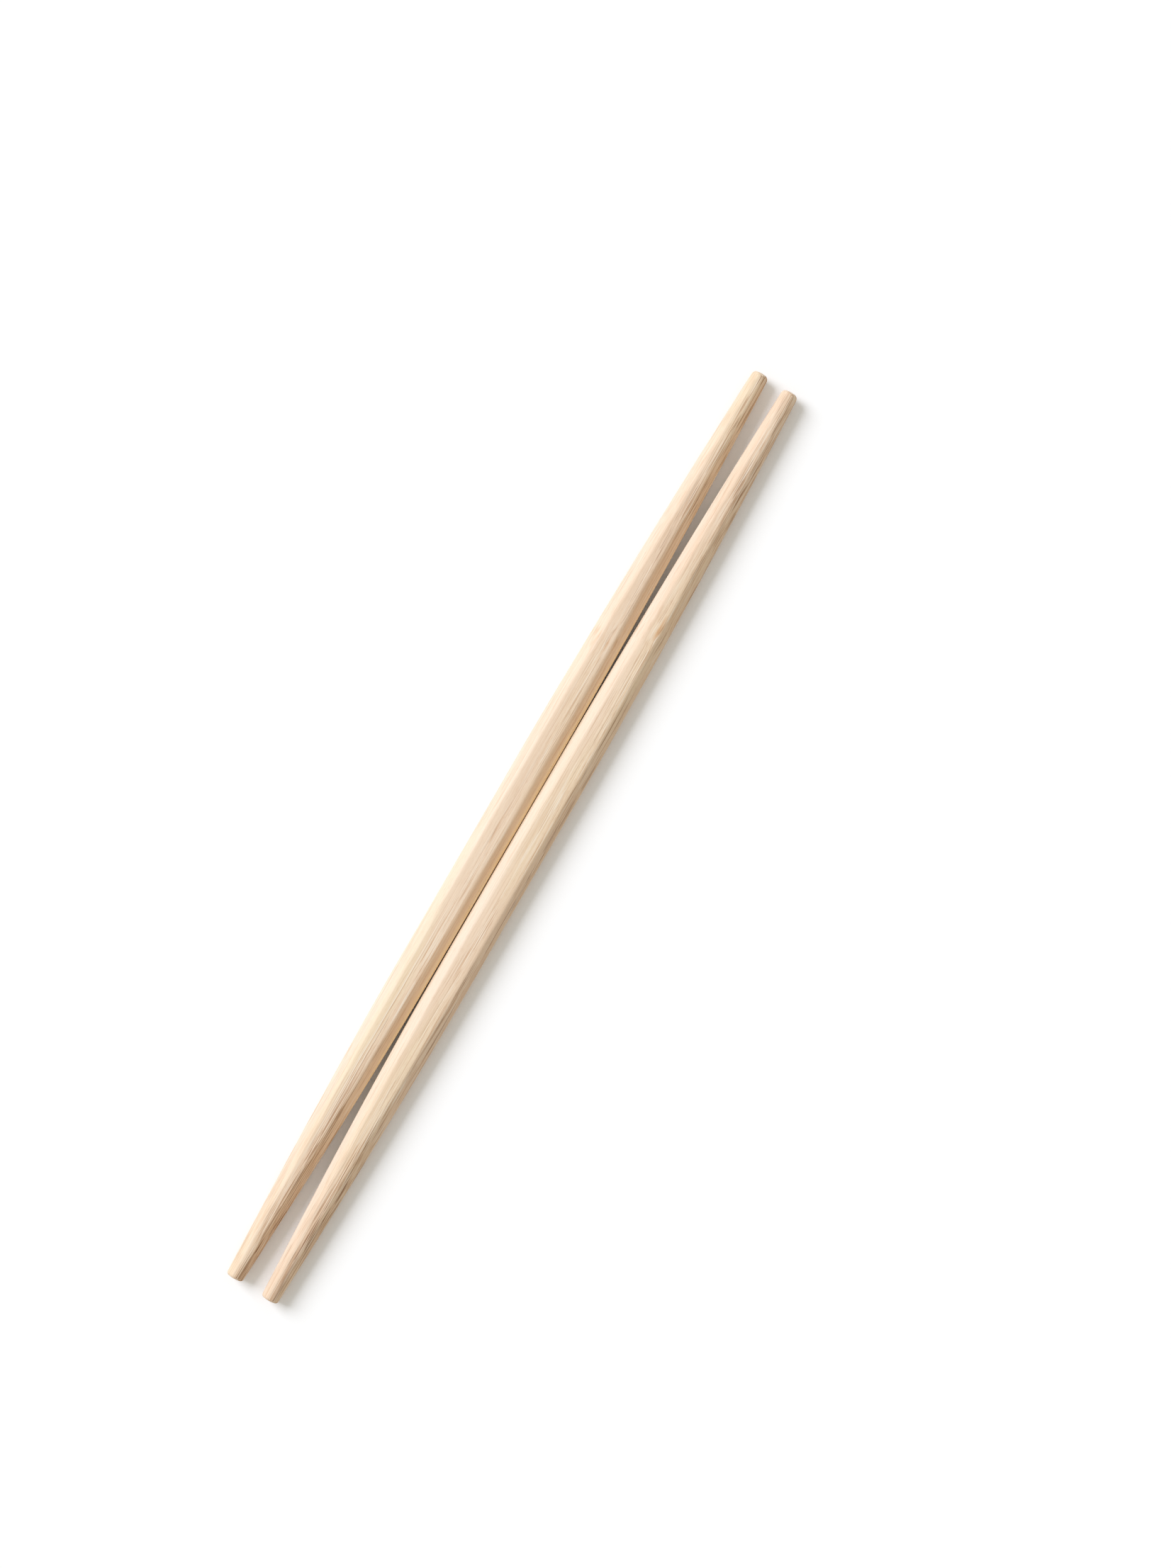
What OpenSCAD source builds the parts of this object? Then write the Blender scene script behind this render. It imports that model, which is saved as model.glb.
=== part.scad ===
// A pair of disposable bamboo chopsticks that narrow towards both ends.
// Each stick is a flat slat, bevelled along its four long edges and planed thinner towards both ends.
// Its outline from above is rounded down to slim blunt ends, where the facets leave a soft octagon.
// The length runs along X, with the eating tips at +X and the butt ends at -X.
// The sticks lie side by side on their bottom flats, at z = 0.

/* [Stick] */
// Length of each stick, from the butt end to the eating tip
stick_length = 240; // [180:1:300]
// Width across the two side flats, at the widest place
middle_width = 8.5; // [7.5:0.1:10.5]
// Thickness between the top flat and the bottom flat
thickness = 5.6; // [5:0.1:7]
// Width of the top flat and of the bottom flat, at the widest place
flat_width = 4.6; // [3.4:0.1:5]
// Slope of the bevels, in degrees from the top flat
bevel_slope = 45; // [40:1:50]

/* [Taper] */
// Widest place of the stick, as a share of its length counted from the butt end
widest_share = 0.42; // [0.35:0.01:0.65]
// Fullness of the taper towards the eating tip, where 1 is a straight cone
tip_fullness = 2.4; // [1.4:0.1:3]
// Fullness of the taper towards the butt end, where 1 is a straight cone
butt_fullness = 1.9; // [1.4:0.1:3]
// How far the round outline stands outside the side flats at the widest place
round_crown = 0.15; // [0.1:0.05:0.4]
// How far the planes that thin the ends stand outside the top flat at the widest place
thinning_run_in = 0.5; // [0.3:0.05:0.8]
// Distance of the flats and bevels from the centre line at each end, as a share of the end's radius
end_facet = 0.95; // [0.94:0.01:0.97]

/* [Ends] */
// Diameter of the eating tip
tip_diameter = 3.9; // [3:0.1:4.8]
// Diameter of the butt end
butt_diameter = 4.1; // [3:0.1:4.8]
// Rounding of the rim at the eating tip
tip_rounding = 1.1; // [0.3:0.1:1.2]
// Rounding of the rim at the butt end
butt_rounding = 0.7; // [0.3:0.1:1.2]

/* [Pair] */
// Gap between the two sticks where they lie closest
pair_gap = 0.1; // [0.05:0.05:3]
// Angle between the two sticks, which open towards their butt ends
opening_angle = 0.35; // [0:0.05:2]
// How far the left stick lies ahead of the right one, towards the eating tips
stagger = 0.4; // [0:0.1:5]

/* [Hidden] */

// Straight steps along each taper, and around each rounded rim
taper_steps = 12;
rim_steps = 6;
// How far the cutting shapes reach past what they cut
overrun = 2;

half_width = middle_width / 2;
butt_run = stick_length * widest_share;
tip_run = stick_length - butt_run;

// Radius of the round outline at the widest place and at each end
middle_radius = half_width + round_crown;
tip_radius = tip_diameter / 2;
butt_radius = butt_diameter / 2;

// Distance of the bevels and of the thinning planes from the centre line, at the widest place
bevel_middle = flat_width / 2 * sin(bevel_slope) + thickness / 2 * cos(bevel_slope);
thinning_middle = thickness / 2 + thinning_run_in;

// Distance of both from the centre line at each end
facet_tip = tip_radius * end_facet;
facet_butt = butt_radius * end_facet;

// Where the side flats end towards the tips, which is where the two sticks come closest
flat_end_share = (half_width - tip_radius) / (middle_radius - tip_radius);
closest_from_tip = tip_run * (1 - pow(1 - flat_end_share, 1 / tip_fullness));
closest_x = stick_length / 2 - closest_from_tip;

// Distance of each stick's middle from the centre line of the pair
stick_offset = pair_gap / 2 + half_width * cos(opening_angle / 2) + closest_x * sin(opening_angle / 2);

// Share of the full swelling that a taper has reached at a distance from its end
function swell_share(along, run, fullness) = 1 - pow(1 - along / run, fullness);

// A size that grows from its end value to its middle value along a taper
function swollen(along, run, fullness, at_end, at_middle) =
    at_end + (at_middle - at_end) * swell_share(along, run, fullness);

// Stations of one taper, as [distance from the end, size], from a start near the end to the widest place
function taper(start, run, fullness, at_end, at_middle) = [
    for (i = [0 : taper_steps])
        let (along = start + (run - start) * i / taper_steps)
            [along, swollen(along, run, fullness, at_end, at_middle)]
];

// Quarter round at an end's rim, as [distance from the end, radius], from the end face outwards
function rim(rounding, radius) = [
    for (i = [0 : rim_steps - 1])
        let (turn = 90 * i / rim_steps)
            [rounding - rounding * cos(turn), radius - rounding + rounding * sin(turn)]
];

// Outline of one rounded end: its rim, then its taper up to the widest place
function round_end(rounding, run, fullness, radius) =
    let (stations = taper(rounding, run, fullness, radius, middle_radius))
        concat(rim(rounding, stations[0][1]), stations);

// Joins two outlines that count from opposite ends into one that runs from the butt to the tip
function both_ends(butt, tip) = concat(
    butt,
    [for (i = [len(tip) - 2 : -1 : 0]) [stick_length - tip[i][0], tip[i][1]]]
);

// Slat of constant thickness that the stick is cut from
module slat() {
    translate([-overrun, -half_width, -thickness / 2])
        cube([stick_length + 2 * overrun, middle_width, thickness]);
}

// Two opposite facets, planed along the whole stick and turned about its length
module facet_pair(turn, at_middle) {
    upper = both_ends(
        taper(-overrun, butt_run, butt_fullness, facet_butt, at_middle),
        taper(-overrun, tip_run, tip_fullness, facet_tip, at_middle)
    );
    lower = [for (i = [len(upper) - 1 : -1 : 0]) [upper[i][0], -upper[i][1]]];
    rotate([turn, 0, 0])
        linear_extrude(height = 2 * middle_width, center = true)
            polygon(concat(upper, lower));
}

// Round outline of the stick, turned about its length, with its blunt ends
module round_outline() {
    outline = both_ends(
        round_end(butt_rounding, butt_run, butt_fullness, butt_radius),
        round_end(tip_rounding, tip_run, tip_fullness, tip_radius)
    );
    rotate([0, 90, 0])
        rotate_extrude($fn = 72)
            polygon(concat(
                [[0, 0]],
                [for (station = outline) [station[1], station[0]]],
                [[0, stick_length]]
            ));
}

// One stick, with its middle over the origin and its bottom flat at z = 0
module chopstick() {
    translate([-stick_length / 2, 0, thickness / 2])
        intersection() {
            slat();
            facet_pair(90, thinning_middle);
            facet_pair(90 - bevel_slope, bevel_middle);
            facet_pair(bevel_slope - 90, bevel_middle);
            round_outline();
        }
}

module left_chopstick() {
    color([0.92, 0.83, 0.70])
        translate([stagger / 2, stick_offset, 0])
            rotate([0, 0, -opening_angle / 2])
                chopstick();
}

module right_chopstick() {
    color([0.90, 0.80, 0.67])
        translate([-stagger / 2, -stick_offset, 0])
            rotate([0, 0, opening_angle / 2])
                chopstick();
}

left_chopstick();
right_chopstick();
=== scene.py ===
# %% [markdown]
# A pair of bamboo chopsticks
#
# Two loose sticks lie side by side. Each one is a planed slat of pale bamboo, bevelled along its four long
# edges, that narrows to a slim blunt end both ways. The shape is plain, so the looks rest on three things:
# how the bevels run out into the slim ends, how soft the edges are, and how the fibres show in the wood. This
# lesson starts from the measured solids, rebuilds each stick as a fine mesh by one rule in Geometry Nodes,
# and gives both of them one bamboo finish that is a true solid pattern, so cut fibres show where they would.

# %% Load the measured solids
import math
from collections import namedtuple

import bmesh
import bpy
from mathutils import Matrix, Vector
from mathutils.bvhtree import BVHTree


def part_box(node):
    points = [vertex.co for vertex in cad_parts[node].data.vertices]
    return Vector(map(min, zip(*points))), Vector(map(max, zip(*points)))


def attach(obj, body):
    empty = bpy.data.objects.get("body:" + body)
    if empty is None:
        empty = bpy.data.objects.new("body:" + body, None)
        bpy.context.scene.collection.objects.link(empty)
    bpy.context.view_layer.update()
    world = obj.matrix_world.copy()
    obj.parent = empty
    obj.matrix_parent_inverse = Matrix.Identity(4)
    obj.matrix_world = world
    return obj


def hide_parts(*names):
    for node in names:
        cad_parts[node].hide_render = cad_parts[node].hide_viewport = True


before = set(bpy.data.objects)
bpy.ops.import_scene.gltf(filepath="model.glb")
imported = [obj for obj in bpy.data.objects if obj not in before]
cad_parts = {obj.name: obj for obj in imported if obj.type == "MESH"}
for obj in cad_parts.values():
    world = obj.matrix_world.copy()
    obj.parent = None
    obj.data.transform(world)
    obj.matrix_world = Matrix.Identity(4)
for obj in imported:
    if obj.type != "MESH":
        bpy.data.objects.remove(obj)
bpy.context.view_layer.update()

# %% [markdown]
# Sizes
#
# Where the sticks lie, and how long and thick they are, is read from the solids. A solid says nothing about
# the rule it was cut by, so the sizes of the bevels and tapers are repeated here. Blender works in metres.

# %% Length, thickness and place of each stick
MM = 0.001

# How close to the end of a solid a corner has to lie to count as part of its end face
END_FACE_DEPTH = 0.05 * MM

STICKS = {"left_stick": "left_chopstick", "right_stick": "right_chopstick"}


def end_centres(node):
    """Centres of the butt end and of the eating tip of one solid stick."""
    corners = [vertex.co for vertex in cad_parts[node].data.vertices]
    low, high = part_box(node)
    butt = [corner for corner in corners if corner.x < low.x + END_FACE_DEPTH]
    tip = [corner for corner in corners if corner.x > high.x - END_FACE_DEPTH]
    return sum(butt, Vector()) / len(butt), sum(tip, Vector()) / len(tip)


stick_ends = {piece: end_centres(node) for piece, node in STICKS.items()}
stick_length = sum((tip - butt).length for butt, tip in stick_ends.values()) / len(stick_ends)
floor_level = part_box("left_chopstick")[0].z
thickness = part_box("left_chopstick")[1].z - floor_level
print("each stick is", round(stick_length / MM, 2), "mm long and", round(thickness / MM, 2), "mm thick")

# %% Sizes of the bevels and tapers
SIZES = {
    "Stick Length": stick_length,
    "Thickness": thickness,
    "Middle Width": 8.5 * MM,
    "Flat Width": 4.6 * MM,
    "Bevel Slope": math.radians(45),
    "Widest Share": 0.42,
    "Tip Fullness": 2.4,
    "Butt Fullness": 1.9,
    "Round Crown": 0.15 * MM,
    "Thinning Run In": 0.5 * MM,
    "End Facet": 0.95,
    "Tip Diameter": 3.9 * MM,
    "Butt Diameter": 4.1 * MM,
    "Tip Rounding": 1.1 * MM,
    "Butt Rounding": 0.7 * MM,
}
print(len(SIZES), "sizes for the chopstick tree")

# %% [markdown]
# Sums with sockets
#
# Both the shape and the finish are sums over node sockets. Wiring each Math node by hand hides the sum, so
# one small class wraps an output socket and lets Python's own operators add the nodes. Any other node comes
# from the class's one node method, which sets the node up first and then feeds its sockets.

# %% A socket that takes part in sums
def pick(sockets, key):
    """A socket by its place in the list, or by its identifier or name."""
    if isinstance(key, int):
        return sockets[key]
    return next(socket for socket in sockets if key in (socket.identifier, socket.name))


class Wire:
    """One output socket of a node tree. Sums of wires and numbers add Math nodes to the tree."""

    def __init__(self, tree, socket=None):
        self.tree = tree
        self.socket = socket

    def node(self, kind, settings=None, sockets=None, output=0):
        """Adds a node, sets it up, feeds its sockets, and returns one of its outputs, if it has any."""
        made = self.tree.nodes.new(kind)
        for name, value in (settings or {}).items():
            setattr(made, name, value)
        for key, value in (sockets or {}).items():
            if isinstance(value, Wire):
                self.tree.links.new(value.socket, pick(made.inputs, key))
            else:
                pick(made.inputs, key).default_value = value
        return Wire(self.tree, pick(made.outputs, output)) if len(made.outputs) else None

    def output(self, key):
        """Another output of the same node."""
        return Wire(self.tree, pick(self.socket.node.outputs, key))

    def math(self, operation, *values):
        """A Math node on these values."""
        return self.node("ShaderNodeMath", {"operation": operation}, dict(enumerate(values)))

    def __add__(self, other):
        return self.math("ADD", self, other)

    __radd__ = __add__

    def __sub__(self, other):
        return self.math("SUBTRACT", self, other)

    def __rsub__(self, other):
        return self.math("SUBTRACT", other, self)

    def __mul__(self, other):
        return self.math("MULTIPLY", self, other)

    __rmul__ = __mul__

    def __truediv__(self, other):
        return self.math("DIVIDE", self, other)

    def __rtruediv__(self, other):
        return self.math("DIVIDE", other, self)

    def __pow__(self, other):
        return self.math("POWER", self, other)

    def __abs__(self):
        return self.math("ABSOLUTE", self)

    def at_least(self, other):
        return self.math("MAXIMUM", self, other)

    def at_most(self, other):
        return self.math("MINIMUM", self, other)

    def soft_least(self, other, blend):
        """The smaller of two values, with a rounded corner where they meet."""
        return self.math("SMOOTH_MIN", self, other, blend)

    def rise(self, start, end):
        """0 before start and 1 after end, with a smooth step between them."""
        sockets = {"Value": self, "From Min": start, "From Max": end}
        return self.node("ShaderNodeMapRange", {"interpolation_type": "SMOOTHSTEP"}, sockets)

    def fall(self, start, end):
        """1 before start and 0 after end, with a smooth step between them."""
        return 1 - self.rise(start, end)

    def parts(self):
        """The three numbers of a vector."""
        first = self.node("ShaderNodeSeparateXYZ", None, {0: self})
        return first, first.output(1), first.output(2)

    def vector(self, x, y, z):
        return self.node("ShaderNodeCombineXYZ", None, {0: x, 1: y, 2: z})

    def noise(self, x, y, z, detail=0.0):
        """Smooth noise from 0 to 1, with blobs about one unit across."""
        sockets = {"Vector": self.vector(x, y, z), "Scale": 1.0, "Detail": detail}
        return self.node("ShaderNodeTexNoise", {"noise_dimensions": "3D"}, sockets)

    def mix(self, factor, first, second):
        """Goes from the first colour to the second."""
        sockets = {"Factor_Float": factor, "A_Color": first, "B_Color": second}
        return self.node("ShaderNodeMix", {"data_type": "RGBA"}, sockets, "Result_Color")


print("sums with sockets are ready")

# %% [markdown]
# The fibres
#
# Bamboo is a bundle of straight hard fibres in a paler ground. They run along the whole stick and stop only
# where a cut ends them. So the pattern is worked out in the stick's own place, in millimetres along, across
# and up from its middle line: a net of cells across the stick, one fibre in each, which drifts slowly along
# the length. On the flats a fibre shows as a long line, on the tapers as a short dash, and on the ends as a
# dot. Two small functions hold the drift and the net. The shape and the finish both use them, so a brown
# fibre also lies in a fine groove.

# %% One fibre pattern for shape and finish
# How far the grain drifts and over what length, in millimetres, and how slowly that changes across the stick
DRIFT = 1.1
DRIFT_LENGTH = 55.0
DRIFT_SPREAD = 0.2

# Spacing of the fibres in millimetres, and how uneven it is, from 0 to 1
FIBRE_SPACING = 0.36
UNEVEN_SPACING = 0.9

# Where a fibre's core ends and where its edge has faded out, as shares of the spacing
FIBRE_CORE = 0.18
FIBRE_EDGE = 0.46

# How far apart the two sticks, and the two ways of drifting, lie in the pattern, so that they don't look alike
STICK_STEP = 37.0
DRIFT_STEP = 9.0


def drifted(along, across, up, number):
    """A place across the stick, moved with the grain, which doesn't run quite straight."""
    slow = along / DRIFT_LENGTH + number * STICK_STEP
    side_drift = (along.noise(slow, across * DRIFT_SPREAD, up * DRIFT_SPREAD) - 0.5) * DRIFT
    rise_drift = (along.noise(slow + DRIFT_STEP, across * DRIFT_SPREAD, up * DRIFT_SPREAD) - 0.5) * DRIFT
    return across + side_drift, up + rise_drift


def fibres(across, up, number):
    """How much of a hard fibre is at a place across the grain, and a random number for each fibre."""
    cell = across.vector(across / FIBRE_SPACING + number * STICK_STEP, up / FIBRE_SPACING, 0.0)
    net = across.node(
        "ShaderNodeTexVoronoi",
        {"voronoi_dimensions": "2D"},
        {"Vector": cell, "Scale": 1.0, "Randomness": UNEVEN_SPACING},
    )
    chance = net.output("Color").parts()[0]
    return net.fall(FIBRE_CORE, FIBRE_EDGE), chance


print("one fibre every", FIBRE_SPACING, "mm across the stick")

# %% [markdown]
# The bamboo finish
#
# The real sticks are bare, planed bamboo: a creamy ground with slow changes of tone, fine straight grain,
# hard fibres that look brown where a taper cuts across them, and a few longer marks. The half of each stick
# away from the lamp is browner and warmer, with more fibres and lines: partly grain, partly painted shade and
# painted warm bounce light. The side towards the lamp is painted paler, as a painted highlight. A picture of
# wood would stretch at the ends, so the colour is built from the fibre pattern and from noise drawn out along
# the stick. The few marks that stand out on these two sticks are listed one by one.

# %% Colours of bamboo
def srgb(red, green, blue):
    """A colour as the eye reads it, from 0 to 255, as the linear colour that a shader takes."""
    shares = [value / 255 for value in (red, green, blue)]
    return (*[((share + 0.055) / 1.055) ** 2.4 for share in shares], 1.0)


CREAM = srgb(247, 225, 193)
ROSE_CREAM = srgb(247, 222, 195)
TAN = srgb(235, 203, 173)
# Painted highlight: a paler cream for the side of each stick that faces the lamp
HIGHLIGHT_CREAM = srgb(250, 237, 221)
# Painted shade: a warm tan for the side of each stick away from the lamp, also standing in for warm bounce
# light
SHADE_TAN = srgb(238, 190, 140)
# Painted reflection: warm light bounced from the right stick onto the left stick's shaded edge
BOUNCE_LIGHT_PEACH = srgb(255, 224, 174)
LINE_BROWN = srgb(204, 162, 124)
FIBRE_BROWN = srgb(134, 88, 54)
PALE_FIBRE = srgb(254, 240, 220)
AMBER = srgb(208, 150, 88)
print("cream ground in linear colour:", [round(part, 3) for part in CREAM])

# %% Marks that stand out on the two sticks
# Places and widths are in millimetres, along the stick from its butt end and across it from its middle line
Mark = namedtuple("Mark", "stick start end across half_width colour strength")
MARKS = [
    Mark(0, 30.0, 104.0, 0.45, 0.13, PALE_FIBRE, 0.90),
    Mark(0, 34.0, 100.0, 0.22, 0.09, LINE_BROWN, 0.55),
    Mark(0, 13.0, 20.0, -0.95, 0.17, FIBRE_BROWN, 0.55),
    Mark(0, 22.0, 31.0, -1.30, 0.13, FIBRE_BROWN, 0.50),
    Mark(1, 3.0, 13.0, -0.75, 0.24, FIBRE_BROWN, 0.45),
    Mark(1, 14.0, 21.5, -1.25, 0.15, FIBRE_BROWN, 0.60),
    Mark(1, 26.5, 33.0, -2.20, 0.22, FIBRE_BROWN, 0.75),
    Mark(1, 41.5, 49.5, -1.40, 0.09, FIBRE_BROWN, 0.80),
    Mark(1, 41.0, 53.0, -1.20, 0.11, PALE_FIBRE, 0.80),
    Mark(1, 174.5, 181.5, -0.90, 0.30, AMBER, 0.55),
]

# How far a mark wanders to the sides, over what length, and how far apart the two sticks are in that noise
WANDER = 0.25
WANDER_LENGTH = 9.0
WANDER_STEP = 3.3

# How blunt the ends of a mark are, where its sides fade out, and above what height it shows
BLUNT_ENDS = 3.0
MARK_SIDES = (0.2, 1.2)
MARK_HEIGHT = (-0.2, 0.4)


def mark_mask(along, across, up, number, mark):
    """A long thin streak on the upper side of one stick, with soft ends."""
    wander = (along.noise(along / WANDER_LENGTH, WANDER_STEP * mark.stick, 0.0) - 0.5) * WANDER
    half_length = (mark.end - mark.start) / 2
    from_middle = abs(along - (mark.start + half_length)) / half_length
    from_line = abs(across - mark.across + wander) / mark.half_width
    streak = (1 - from_middle ** BLUNT_ENDS).at_least(0.0) * from_line.fall(*MARK_SIDES)
    on_stick = 1 - abs(number - mark.stick).at_most(1.0)
    return streak * on_stick * up.rise(*MARK_HEIGHT) * mark.strength


print(len(MARKS), "marks, the longest", max(mark.end - mark.start for mark in MARKS), "mm")

# %% [markdown]
# Layers of colour
#
# The colour is laid on as a painter glazes: a plain ground first, then one thin layer after another, each
# with a mask that says how much of it shows where. The masks come from two things. Streaky noise tells one
# run of grain from the next, and the place on the stick tells the side away from the lamp, which takes painted
# shade, from the side towards it, which takes a painted highlight, and the flats from the tapers. The shader
# reads that place from an attribute that each stick carries, so the pattern stays in the wood.

# %% Streaks along the grain
# Length and width of the streaks of each noise in millimetres, and how much finer detail they hold
STREAKS = {
    "swirl": (8.0, 2.4, 0.0),
    "hue": (60.0, 4.0, 0.0),
    "tone": (40.0, 1.8, 1.0),
    "run of lines": (24.0, 1.1, 1.0),
    "hair line": (16.0, 0.24, 1.0),
    "pore": (1.4, 0.16, 0.0),
    "cluster": (26.0, 0.9, 1.0),
    "break": (6.0, 0.3, 1.0),
    "stain": (6.0, 0.9, 1.0),
}

# How far apart the two sticks lie in these noises, in millimetres
NOISE_STEP = 3700.0

bamboo = bpy.data.materials.new("bamboo")
bamboo.use_nodes = True
bamboo.node_tree.nodes.clear()
wood = Wire(bamboo.node_tree)
place = wood.node("ShaderNodeAttribute", {"attribute_name": "stick_place"}, output="Vector")
number = wood.node("ShaderNodeAttribute", {"attribute_name": "stick_number"}, output="Fac")
along, straight_across, straight_up = place.parts()
apart = along + number * NOISE_STEP


def streaks(name, across, up):
    """Noise from 0 to 1 that is drawn out along the grain."""
    length, width, detail = STREAKS[name]
    return wood.noise(apart / length, across / width, up / width, detail)


print(len(STREAKS), "kinds of streaks, the finest", min(width for _, width, _ in STREAKS.values()), "mm wide")

# %% Grain that swirls round a knot
# Where the bamboo's knot crosses each stick, how far along it turns the grain, and by how much, in millimetres
KNOT_PLACE = 170.0
KNOT_STEP = 8.5
KNOT_REACH = 8.0
KNOT_SWIRL = 1.1

near_knot = (abs(along - (KNOT_PLACE + number * KNOT_STEP)) / KNOT_REACH).fall(0.1, 1.0)
swirl = (streaks("swirl", straight_across, straight_up) - 0.5) * near_knot * KNOT_SWIRL
across, up = drifted(along, straight_across + swirl, straight_up + swirl, number)
print("knots at", KNOT_PLACE, "and", KNOT_PLACE + KNOT_STEP, "mm from the butt ends")

# %% Sides and ends of the wood, with painted highlight and painted shade
# Where the sides of the wood start and end, in millimetres across and up from the stick's middle line. The
# side towards the lamp takes a painted highlight, the side away from it grain with painted shade, and its edge
# next to the other stick, on the left stick, a painted reflection.
# Painted highlight: where the paler cream on the side towards the lamp starts and where it is full
HIGHLIGHT_SIDE_SPAN = (1.2, 3.2)
# Grain and painted shade: where the half of each stick away from the lamp starts and where it is full
GRAIN_AND_SHADE_HALF_SPAN = (-0.7, 0.9)
# Painted shade: where the warm tan on the side away from the lamp starts and where it is full
SHADE_TINT_SPAN = (-3.0, -1.2)
# Painted shade: where the brown band along the right stick's shaded bevel starts and where it is full
SHADE_EDGE_SPAN = (-2.6, -1.8)
# Painted reflection: where the warm bounce light along the left stick's shaded edge starts and where it is
# full
BOUNCE_RIM_SPAN = (-4.0, -3.2)
UNDERSIDE = (-1.2, 0.8)

# How much closer to the middle line the painted shade on the side away from the lamp starts at the slim ends,
# and how strong the painted shade along the right stick's shaded bevel is
SLIM_ENDS = 0.9
SHADE_EDGE_STRENGTH = 0.50

# How far from each end the planed surface cuts across the fibres, from fully to not at all, in millimetres
BUTT_CUT = (15.0, 62.0)
TIP_CUT = (15.0, 75.0)

# How far from the butt end the fine lines stay dark, in the same way
LINED_BUTT = (40.0, 85.0)

# Share of the fibres that show at the tip and on the underside
TIP_FIBRES = 0.60
UNDERSIDE_FIBRES = 0.85

butt_cut = along.fall(*BUTT_CUT)
tip_cut = (stick_length / MM - along).fall(*TIP_CUT)
slim = butt_cut.at_least(tip_cut)
lined_ends = along.fall(*LINED_BUTT).at_least(tip_cut)
cut = butt_cut.at_least(tip_cut * TIP_FIBRES)
# Painted highlight: paler towards the lamp side of each stick
painted_highlight = straight_across.rise(*HIGHLIGHT_SIDE_SPAN)
# Grain and painted shade: the half away from the lamp, which takes more tan, pores, lines and brown fibres
grain_and_shade_half = straight_across.fall(*GRAIN_AND_SHADE_HALF_SPAN)
# Painted shade: warm tan on the side away from the lamp, reaching nearer the middle line at the slim ends
painted_shade_tint = (straight_across * (1 + SLIM_ENDS * slim)).fall(*SHADE_TINT_SPAN)
# Painted shade: a brown band along the shaded bevel of the right stick only
painted_shade_edge = straight_across.fall(*SHADE_EDGE_SPAN) * number * SHADE_EDGE_STRENGTH
# Painted reflection: warm bounce light along the left stick's shaded edge next to the right stick, fading
# towards the slim ends
painted_bounce_rim = straight_across.fall(*BOUNCE_RIM_SPAN) * (1 - number) * (1 - slim)
# More lines and fibres on the half away from the lamp, partly grain and partly painted shade, and on the
# underside
fibre_and_shade_side = grain_and_shade_half.at_least(straight_up.fall(*UNDERSIDE) * UNDERSIDE_FIBRES)
print("fibres are cut up to", BUTT_CUT[1], "mm from the butt and", TIP_CUT[1], "mm from the tip")

# %% Fine lines and brown fibres
runs = streaks("run of lines", across, up).rise(0.40, 0.60).at_least(slim * 0.75)
lined = (0.25 + 0.75 * runs) * (0.45 + 0.55 * fibre_and_shade_side)
hair_line = streaks("hair line", across, up)
more_lined = lined.at_least(lined_ends * (0.25 + 0.75 * grain_and_shade_half))
dark_line = (hair_line - 0.03 * lined_ends).fall(0.35, 0.45) * more_lined
pale_line = hair_line.rise(0.56, 0.66) * lined

cluster = streaks("cluster", across, up).rise(0.38, 0.54)
unbroken = streaks("break", across, up).rise(0.38, 0.54)
fibre, chance = fibres(across, up, number)
brown = fibre * chance.rise(0.42, 0.58) * unbroken * (0.20 + 0.80 * cluster) * (0.25 + 0.75 * fibre_and_shade_side)
pale = fibre * chance.fall(0.20, 0.32) * unbroken * lined
print("lines and fibres use", len(bamboo.node_tree.nodes), "nodes so far")

# %% One layer over the other
hue = streaks("hue", across, up).rise(0.35, 0.65)
tone = (streaks("tone", across, up) + number * 0.02).rise(0.30, 0.74)
pore = streaks("pore", across, up).fall(0.30, 0.46)
# Browner where the fibres are cut, more so on the half away from the lamp as painted shade
browned_and_shaded = (0.35 + 0.65 * cluster) * (0.15 + 0.85 * grain_and_shade_half) * cut
stain = streaks("stain", across, up).rise(0.50, 0.75)

# How much of each layer shows, and its colour. The number is 0 on the left stick and 1 on the right one.
layers = [
    # Tan tone and pores are heavier on the half away from the lamp: grain with painted shade
    (tone * (0.35 + 0.12 * grain_and_shade_half), TAN),
    # Painted highlight: paler cream on the side towards the lamp, stronger on the right stick, whose lit bevel
    # faces the left stick
    (painted_highlight * (0.30 + 0.35 * number), HIGHLIGHT_CREAM),
    (pore * (0.10 + 0.08 * grain_and_shade_half), LINE_BROWN),
    (dark_line * 0.65, LINE_BROWN),
    (pale_line * 0.80, PALE_FIBRE),
    # Painted shade and painted warm bounce light on the side away from the lamp, stronger on the left stick,
    # which faces the other stick's lit bevel
    (painted_shade_tint * (0.42 - 0.20 * number), SHADE_TAN),
    # Browner cut ends, weighted to the half away from the lamp as painted shade, and painted shade along the
    # right stick's shaded bevel
    (browned_and_shaded * (0.30 - 0.08 * number) + painted_shade_edge * 0.20, LINE_BROWN),
    # Dark fibre lines at the ends, kept to the half away from the lamp: grain with painted shade
    (dark_line * lined_ends * grain_and_shade_half * (0.34 - 0.12 * number), FIBRE_BROWN),
    # Painted reflection: warm bounce light along the left stick's shaded edge
    (painted_bounce_rim * 0.80, BOUNCE_LIGHT_PEACH),
    (pale * 0.70, PALE_FIBRE),
    # Brown fibres, with at least a brown band of painted shade along the right stick's shaded bevel
    (brown * (0.20 + (0.80 - 0.15 * number) * cut).at_least(painted_shade_edge), FIBRE_BROWN),
    (near_knot * stain * 0.35, AMBER),
]
for mark in MARKS:
    layers.append((mark_mask(along, straight_across, straight_up, number, mark), mark.colour))

colour = wood.mix(hue, CREAM, ROSE_CREAM)
for cover, layer_colour in layers:
    colour = wood.mix(cover, colour, layer_colour)
print(len(layers), "layers over the ground,", len(MARKS), "of them marks")

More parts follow.
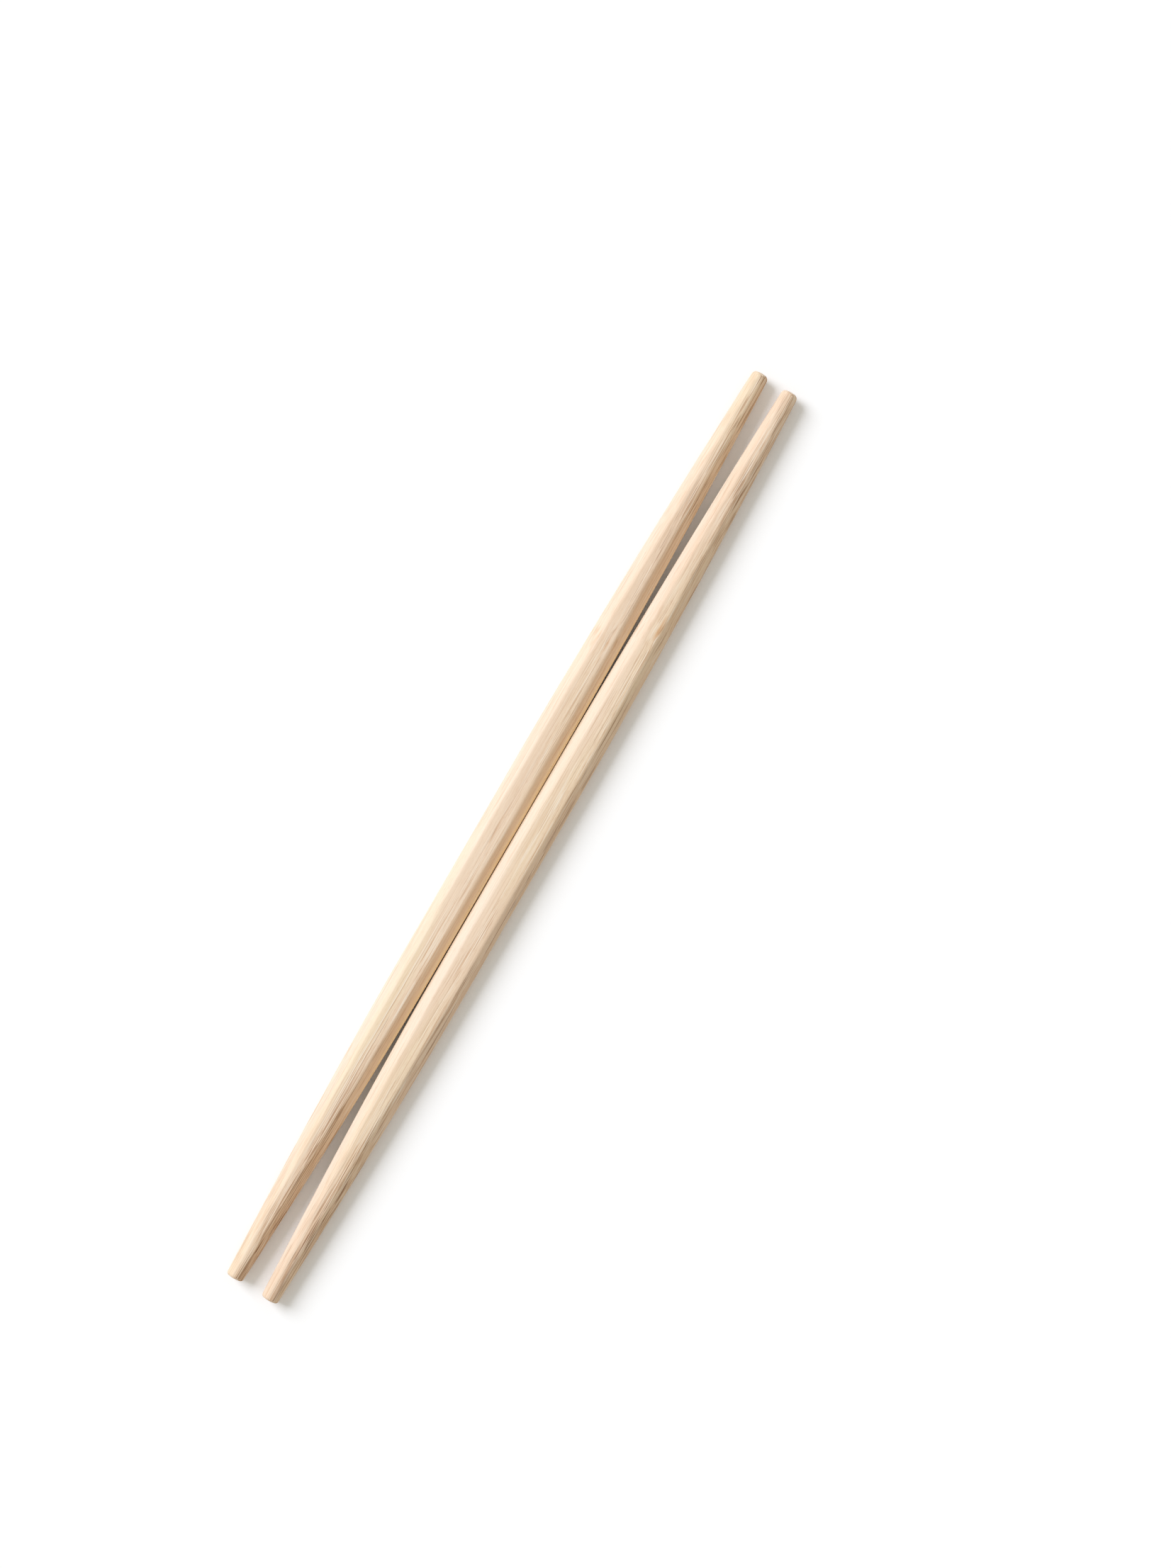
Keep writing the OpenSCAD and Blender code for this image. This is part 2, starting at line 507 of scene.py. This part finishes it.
# %% Bamboo surface
# Roughness of the plain wood, and how much rougher it is in a dark line and in a brown fibre
ROUGHNESS = 0.50
LINE_ROUGHNESS = 0.12
FIBRE_ROUGHNESS = 0.15

# Depth of the finest grain
GRAIN_DEPTH = 0.05 * MM

height = (pale_line - dark_line) * 0.5 + pale * 0.4 - brown * 0.8
bump = wood.node("ShaderNodeBump", None, {"Strength": 0.5, "Distance": GRAIN_DEPTH, "Height": height})
surface = wood.node(
    "ShaderNodeBsdfPrincipled",
    None,
    {
        "Base Color": colour,
        "Roughness": ROUGHNESS + dark_line * LINE_ROUGHNESS + brown * FIBRE_ROUGHNESS,
        "Normal": bump,
        "IOR": 1.45,
        "Specular IOR Level": 0.35,
    },
)
wood.node("ShaderNodeOutputMaterial", None, {"Surface": surface})
print("bamboo has", len(bamboo.node_tree.nodes), "nodes")

# %% [markdown]
# The shape of a stick
#
# On the real stick a slat is planed to an even thickness, its long edges are bevelled, and both ends are
# planed slim, down to a soft octagon that is almost round. Booleans could cut that, but they leave hard edges
# and long thin faces. Here a flat grid is wrapped around the stick's middle line instead: one side of the
# grid runs along the stick, the other around it. Each point lands on the cut that lies deepest there, and a
# soft minimum rounds the edges a little, as sanding does.

# %% Inputs of the chopstick tree
LOOKS = {
    "Edge Softness": 0.65 * MM,
    "Flat Crown": 0.05 * MM,
    "Hand Waver": 0.12 * MM,
    "Bow": 0.11 * MM,
    "Fibre Depth": 0.03 * MM,
}

# Points of the grid along the stick and around it
RINGS = 401
SIDES = 240

tree = bpy.data.node_groups.new("chopstick", "GeometryNodeTree")
tree.interface.new_socket("Stick", in_out="OUTPUT", socket_type="NodeSocketGeometry")
for name in [*SIZES, *LOOKS, "Stick Number", "Turn"]:
    tree.interface.new_socket(name, in_out="INPUT", socket_type="NodeSocketFloat")
tree.interface.new_socket("Place", in_out="INPUT", socket_type="NodeSocketVector")
tree.interface.new_socket("Finish", in_out="INPUT", socket_type="NodeSocketMaterial")

stick = Wire(tree)
first_input = stick.node("NodeGroupInput")
size = {name: first_input.output(name) for name in [*SIZES, *LOOKS, "Stick Number", "Turn", "Place", "Finish"]}
print("chopstick tree takes", len(size), "inputs")

# %% [markdown]
# Along the stick
#
# Both tapers follow one rule: the share of the full swelling that is still missing falls off as a power of
# the distance from the end. The grid walks from the middle of the end face out to its rim, round the rim, and
# along the stick, with its rings closest together at the ends, where the shape turns most. No stick is quite
# straight either: between the butt end and the place where the two lie closest, each bows a little towards
# the other, which narrows the gap between them to a fine line.

# %% From the end faces to the middle
length = size["Stick Length"]
middle_radius = size["Middle Width"] / 2 + size["Round Crown"]
butt_radius = size["Butt Diameter"] / 2
tip_radius = size["Tip Diameter"] / 2
butt_run = length * size["Widest Share"]
tip_run = length - butt_run


def missing(along):
    """Share of the swelling that is still missing towards the butt end and towards the tip."""
    butt = (1 - along / butt_run).at_least(0.0) ** size["Butt Fullness"]
    tip = (1 - (length - along) / tip_run).at_least(0.0) ** size["Tip Fullness"]
    return butt, tip


def tapered(along, middle, butt, tip):
    """A size that has three known values: in the middle and at both ends."""
    butt_missing, tip_missing = missing(along)
    return middle - (middle - butt) * butt_missing - (middle - tip) * tip_missing


# How close the rings lie at the ends, as a share of an even spacing
END_SPACING = 0.15

grid_along, grid_around, _ = stick.node("GeometryNodeInputPosition").parts()
is_tip = stick.math("GREATER_THAN", grid_along, 0.0)
near_middle = 1 - abs(grid_along) * 2


def by_end(butt, tip):
    """One value on the butt half of the stick and another on its tip half."""
    return butt + (tip - butt) * is_tip


rounding = by_end(size["Butt Rounding"], size["Tip Rounding"])
rim_place = by_end(size["Butt Rounding"], length - size["Tip Rounding"])
face = tapered(rim_place, middle_radius, butt_radius, tip_radius) - rounding
quarter = rounding * (math.pi / 2)
half_walk = face + quarter + length / 2 - rounding
walk = half_walk * near_middle * (END_SPACING + (1 - END_SPACING) * near_middle)
rim_turn = ((walk - face) / rounding).at_least(0.0).at_most(math.pi / 2)
from_end = rounding * (1 - stick.math("COSINE", rim_turn)) + (walk - face - quarter).at_least(0.0)
inset = rounding * (1 - stick.math("SINE", rim_turn)) + (face - walk).at_least(0.0)
stick_along = by_end(from_end, length - from_end)
body_along = stick_along.at_least(size["Butt Rounding"]).at_most(length - size["Tip Rounding"])
print("rings along the stick:", RINGS)

# %% A slight bow towards the other stick
# Where the two sticks lie closest, as a share of the length counted from the butt end
CLOSEST_SHARE = 0.6

to_closest = (stick_along / (length * CLOSEST_SHARE)).at_most(1.0)
towards_other = size["Stick Number"] * 2 - 1
bow = size["Bow"] * 4 * to_closest * (1 - to_closest) * towards_other
closest_place = stick_length * CLOSEST_SHARE
print("sticks bow by", round(LOOKS["Bow"] / MM, 2), "mm, up to", round(closest_place / MM), "mm along")

# %% [markdown]
# Around the stick
#
# Seen end on, the middle of a stick is a flat octagon and its ends are small soft ones with round sides. Each
# cut is written as the distance from the middle line to it in a given direction: the flats, which are planed
# thinner towards the ends, the sides, the four bevels and the round outline. Bevels planed by hand waver a
# little, so each follows its own slow noise, always inwards, never past the measured solid.

# %% Flats and sides
# Keeps a division by zero away where a direction runs along a cut
CLOSE_TO_ZERO = 1e-4

# How softly the flat passes into the thinned end
THINNING_BLEND = 0.2 * MM

angle = grid_around * (-2 * math.pi)
cosine = stick.math("COSINE", angle)
sine = stick.math("SINE", angle)
sideways = abs(cosine) + CLOSE_TO_ZERO
upward = abs(sine) + CLOSE_TO_ZERO
half_width = size["Middle Width"] / 2
half_thickness = size["Thickness"] / 2
half_flat = size["Flat Width"] / 2
facet_butt = butt_radius * size["End Facet"]
facet_tip = tip_radius * size["End Facet"]

thinned = tapered(body_along, half_thickness + size["Thinning Run In"], facet_butt, facet_tip)
flat_reach = half_thickness.soft_least(thinned, THINNING_BLEND)
from_centre = (half_thickness * sideways / upward).at_most(half_width) / half_flat
flat_cut = (flat_reach - size["Flat Crown"] * from_centre * from_centre) / upward
side_cut = half_width / sideways
print("points around the stick:", SIDES)

# %% Bevels and round outline
WAVER_LENGTH = 32 * MM

# Steps that give each of the four bevels a noise of its own
SIDE_STEP = 5.0
TOP_STEP = 7.0

# How softly the planed cuts pass into the round outline
ROUND_BLEND = 0.12 * MM

slope_sine = stick.math("SINE", size["Bevel Slope"])
slope_cosine = stick.math("COSINE", size["Bevel Slope"])
bevel_middle = half_flat * slope_sine + half_thickness * slope_cosine
side_sign = stick.math("SIGN", cosine + CLOSE_TO_ZERO)
top_sign = stick.math("SIGN", sine + CLOSE_TO_ZERO)
which_bevel = side_sign * SIDE_STEP + top_sign * TOP_STEP + size["Stick Number"] * STICK_STEP
waver = stick.noise(stick_along / WAVER_LENGTH, which_bevel, 0.0, 2.0).rise(0.25, 0.75) * size["Hand Waver"]
bevel_reach = tapered(body_along, bevel_middle, facet_butt, facet_tip) - waver
bevel_cut = bevel_reach / (sideways * slope_sine + upward * slope_cosine)

round_cut = tapered(body_along, middle_radius, butt_radius, tip_radius)
planed = flat_cut.soft_least(bevel_cut, size["Edge Softness"]).soft_least(side_cut, size["Edge Softness"])
reach = planed.soft_least(round_cut, ROUND_BLEND)
print("bevels waver by", round(LOOKS["Hand Waver"] / MM, 2), "mm at most")

# %% [markdown]
# Fibre relief
#
# A blade leaves the hard fibres and the softer ground at slightly different heights. The depth is a few
# hundredths of a millimetre, enough to catch a low light, and it fades out on the end faces, which are cut
# straight across.

# %% Grooves along the fibres
# Length and width of the uneven places between the fibres, in millimetres
UNEVEN_LENGTH = 16.0
UNEVEN_WIDTH = 0.5

relief_along = stick_along / MM
relief_across = reach * cosine / MM
relief_up = reach * sine / MM
grain_across, grain_up = drifted(relief_along, relief_across, relief_up, size["Stick Number"])
groove, groove_chance = fibres(grain_across, grain_up, size["Stick Number"])
uneven = stick.noise(relief_along / UNEVEN_LENGTH, relief_across / UNEVEN_WIDTH, relief_up / UNEVEN_WIDTH, 2.0)
body = (1 - (inset / rounding).at_most(1.0)) * upward
relief = (groove * groove_chance * 0.5 + uneven.rise(0.3, 0.7) * 0.5) * size["Fibre Depth"] * body
radius = reach * (1 - inset / (face + rounding)) - relief
print("relief is", round(LOOKS["Fibre Depth"] / MM, 3), "mm deep at most")

# %% Mesh of one stick
# Points closer than this are joined where the grid closes round the stick and at its ends
SEAM = 0.0005 * MM

shape = stick.node(
    "GeometryNodeMeshGrid",
    None,
    {"Size X": 1.0, "Size Y": 1.0, "Vertices X": RINGS, "Vertices Y": SIDES + 1},
)
own_place = stick.vector(stick_along / MM, radius * cosine / MM, radius * sine / MM)
shape = stick.node(
    "GeometryNodeStoreNamedAttribute",
    {"data_type": "FLOAT_VECTOR"},
    {"Geometry": shape, "Name": "stick_place", "Value": own_place},
)
shape = stick.node(
    "GeometryNodeStoreNamedAttribute",
    {"data_type": "FLOAT"},
    {"Geometry": shape, "Name": "stick_number", "Value": size["Stick Number"]},
)
wrapped = stick.vector(stick_along - length / 2, radius * cosine + bow, radius * sine + half_thickness)
shape = stick.node("GeometryNodeSetPosition", None, {"Geometry": shape, "Position": wrapped})
shape = stick.node("GeometryNodeMergeByDistance", None, {"Geometry": shape, "Distance": SEAM})
shape = stick.node(
    "GeometryNodeTransform",
    None,
    {"Geometry": shape, "Translation": size["Place"], "Rotation": stick.vector(0.0, 0.0, size["Turn"])},
)
shape = stick.node("GeometryNodeSetShadeSmooth", None, {"Geometry": shape})
shape = stick.node("GeometryNodeRealizeInstances", None, {"Geometry": shape})
shape = stick.node("GeometryNodeSetMaterial", None, {"Geometry": shape, "Material": size["Finish"]})
stick.node("NodeGroupOutput", None, {"Stick": shape})
print("chopstick tree has", len(tree.nodes), "nodes")

# %% [markdown]
# Two sticks
#
# The tree is used twice. Each stick takes its place and its small turn from the ends of its solid, and a
# number that gives it fibres of its own. The result is turned into a plain mesh, and its distance from the
# solid is measured, because a finished piece has to keep the size that was measured.

# %% Make both sticks
def make_stick(name, stick_number):
    """A plain mesh of one stick, lying where its solid lies."""
    butt, tip = stick_ends[name]
    lie = tip - butt
    middle = (butt + tip) / 2
    values = {
        **SIZES,
        **LOOKS,
        "Stick Number": float(stick_number),
        "Turn": math.atan2(lie.y, lie.x),
        "Place": (middle.x, middle.y, floor_level),
        "Finish": bamboo,
    }
    piece = bpy.data.objects.new(name, bpy.data.meshes.new(name + "_start"))
    bpy.context.scene.collection.objects.link(piece)
    modifier = piece.modifiers.new("chopstick", "NODES")
    modifier.node_group = tree
    for item in tree.interface.items_tree:
        if item.in_out == "INPUT":
            modifier[item.identifier] = values[item.name]
    graph = bpy.context.evaluated_depsgraph_get()
    mesh = bpy.data.meshes.new_from_object(
        piece.evaluated_get(graph), preserve_all_data_layers=True, depsgraph=graph
    )
    piece.modifiers.clear()
    piece.data = mesh
    mesh.name = name
    return piece


pieces = {name: make_stick(name, stick_number) for stick_number, name in enumerate(STICKS)}
for name, piece in pieces.items():
    print(name, "has", len(piece.data.polygons), "faces")

# %% Compare each stick with its solid
for name, piece in pieces.items():
    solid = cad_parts[STICKS[name]].data
    hull = BVHTree.FromPolygons([v.co for v in solid.vertices], [p.vertices for p in solid.polygons])
    gaps = [hull.find_nearest(vertex.co)[3] for vertex in piece.data.vertices]
    closed = bmesh.new()
    closed.from_mesh(piece.data)
    open_edges = sum(not edge.is_manifold for edge in closed.edges)
    volume = closed.calc_volume(signed=True) / MM ** 3
    closed.free()
    print(name, "lies at most", round(max(gaps) / MM, 3), "mm from its solid,", open_edges, "open edges,",
          round(volume, 1), "cubic mm")

# %% Stand in for the solids
for name, piece in pieces.items():
    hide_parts(STICKS[name])
    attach(piece, "root")
print("pieces:", sorted(pieces))

# %% [markdown]
# Floor and surroundings
#
# The sticks lie on plain white. A floor that is lit to pure white would need more light than the sticks can
# take. So the lamps stay at a plain level, and the floor shows the camera a slightly lighter white than the
# one it throws back on the sticks. The surroundings are white to the camera too, and the floor still takes
# the sticks' shadow.

# %% White floor and surroundings
FLOOR_SIZE = 6.0

# How far the floor lies under the sticks, so that the two don't share a plane
FLOOR_DROP = 0.02 * MM

# White that the floor throws back, and white that it shows to the camera
FLOOR_WHITE = (0.75, 0.75, 0.75, 1.0)
FLOOR_SEEN = (1.12, 1.12, 1.12, 1.0)

# Strength and colour of the light from the surroundings
SKY_LIGHT = 0.50
SKY_TINT = (1.0, 0.98, 0.91, 1.0)


def seen_directly(wire):
    """1 for rays that show a surface to the camera, straight or by mirror or glass, and 0 for the others."""
    path = wire.node("ShaderNodeLightPath", output="Is Camera Ray")
    mirrored = path.output("Is Glossy Ray").at_least(path.output("Is Transmission Ray"))
    return path.at_least(mirrored)


paper = bpy.data.materials.new("white_floor")
paper.use_nodes = True
paper.node_tree.nodes.clear()
ground = Wire(paper.node_tree)
matt = ground.node("ShaderNodeBsdfDiffuse", None, {"Color": FLOOR_WHITE})
shown = ground.node("ShaderNodeBsdfDiffuse", None, {"Color": FLOOR_SEEN})
both = ground.node("ShaderNodeMixShader", None, {0: seen_directly(ground), 1: matt, 2: shown})
ground.node("ShaderNodeOutputMaterial", None, {"Surface": both})

half = FLOOR_SIZE / 2
level = floor_level - FLOOR_DROP
corners = [(-half, -half, level), (half, -half, level), (half, half, level), (-half, half, level)]
floor_mesh = bpy.data.meshes.new("floor")
floor_mesh.from_pydata(corners, [], [(0, 1, 2, 3)])
floor_mesh.materials.append(paper)
floor = bpy.data.objects.new("floor", floor_mesh)
bpy.context.scene.collection.objects.link(floor)

world = bpy.data.worlds.new("white_surroundings")
world.use_nodes = True
world.node_tree.nodes.clear()
sky = Wire(world.node_tree)
seen = seen_directly(sky)
tint = sky.mix(seen, SKY_TINT, (1.0, 1.0, 1.0, 1.0))
dome = sky.node("ShaderNodeBackground", None, {"Color": tint, "Strength": SKY_LIGHT + (1 - SKY_LIGHT) * seen})
sky.node("ShaderNodeOutputWorld", None, {"Surface": dome})
bpy.context.scene.world = world
print("floor", FLOOR_SIZE, "m wide, sky light", SKY_LIGHT)

# %% [markdown]
# Light
#
# The bevels on one side are bright and those on the other side dark, with a soft shadow beside them, so the
# light comes across the sticks from a large source about halfway up. A sun lamp with a wide disc gives that
# softness and the same brightness everywhere. Together with the sky it lights a level surface so that a
# colour renders as it is written.

# %% One broad lamp across the sticks
LAMP_HEIGHT = math.radians(40)
LAMP_TURN = math.radians(8)
LAMP_DISC = math.radians(34)

# Light that reaches a level surface from the lamp and the sky together
LEVEL_LIGHT = 0.91

# What the lamp has to add, colour by colour, so that a level white surface comes out neutral
lamp_light = [(LEVEL_LIGHT - SKY_LIGHT * part) / math.sin(LAMP_HEIGHT) for part in SKY_TINT[:3]]
lamp = bpy.data.lights.new("broad_lamp", "SUN")
lamp.energy = max(lamp_light) * math.pi
lamp.color = [part / max(lamp_light) for part in lamp_light]
lamp.angle = LAMP_DISC
lamp_object = bpy.data.objects.new("broad_lamp", lamp)
towards_lamp = Vector((math.sin(LAMP_TURN), math.cos(LAMP_TURN), math.tan(LAMP_HEIGHT)))
lamp_object.rotation_euler = towards_lamp.to_track_quat("Z", "Y").to_euler()
bpy.context.scene.collection.objects.link(lamp_object)
print("lamp energy", round(lamp.energy, 2), "colour", [round(part, 3) for part in lamp.color])

# %% [markdown]
# Camera
#
# The top flat shows the same width of bevel on both sides, so the view is straight down. Two points fix the
# rest: the pixels where the middle of the pair starts and ends. They give the turn of the camera, its
# distance and its aim.

# %% Camera straight above
# Size of the picture, and where the middle of the pair starts and ends in it, in pixels
PHOTO_WIDTH = 1652
PHOTO_HEIGHT = 2213
BUTT_PIXEL = Vector((355.0, 1819.0))
TIP_PIXEL = Vector((1095.0, 541.0))

# Focal length and the longer side of the sensor, in millimetres
LENS = 85.0
SENSOR = 36.0

span = TIP_PIXEL - BUTT_PIXEL
pixel = stick_length / span.length
roll = math.atan2(-span.y, span.x)
image_right = Vector((math.cos(roll), -math.sin(roll), 0.0))
image_up = Vector((math.sin(roll), math.cos(roll), 0.0))
pair_pixel = (BUTT_PIXEL + TIP_PIXEL) / 2
aim_right = (PHOTO_WIDTH / 2 - pair_pixel.x) * pixel
aim_up = (pair_pixel.y - PHOTO_HEIGHT / 2) * pixel
distance = PHOTO_HEIGHT * pixel * LENS / SENSOR

camera = bpy.data.cameras.new("overhead_camera")
camera.lens = LENS
camera.sensor_width = SENSOR
camera_object = bpy.data.objects.new("overhead_camera", camera)
camera_height = Vector((0.0, 0.0, distance + thickness / 2))
camera_object.location = image_right * aim_right + image_up * aim_up + camera_height
camera_object.rotation_euler = (0.0, 0.0, -roll)
bpy.context.scene.collection.objects.link(camera_object)
bpy.context.scene.camera = camera_object
bpy.context.scene.view_settings.view_transform = "Standard"
print("camera", round(distance, 3), "m above the sticks, turned", round(math.degrees(roll), 1), "degrees")
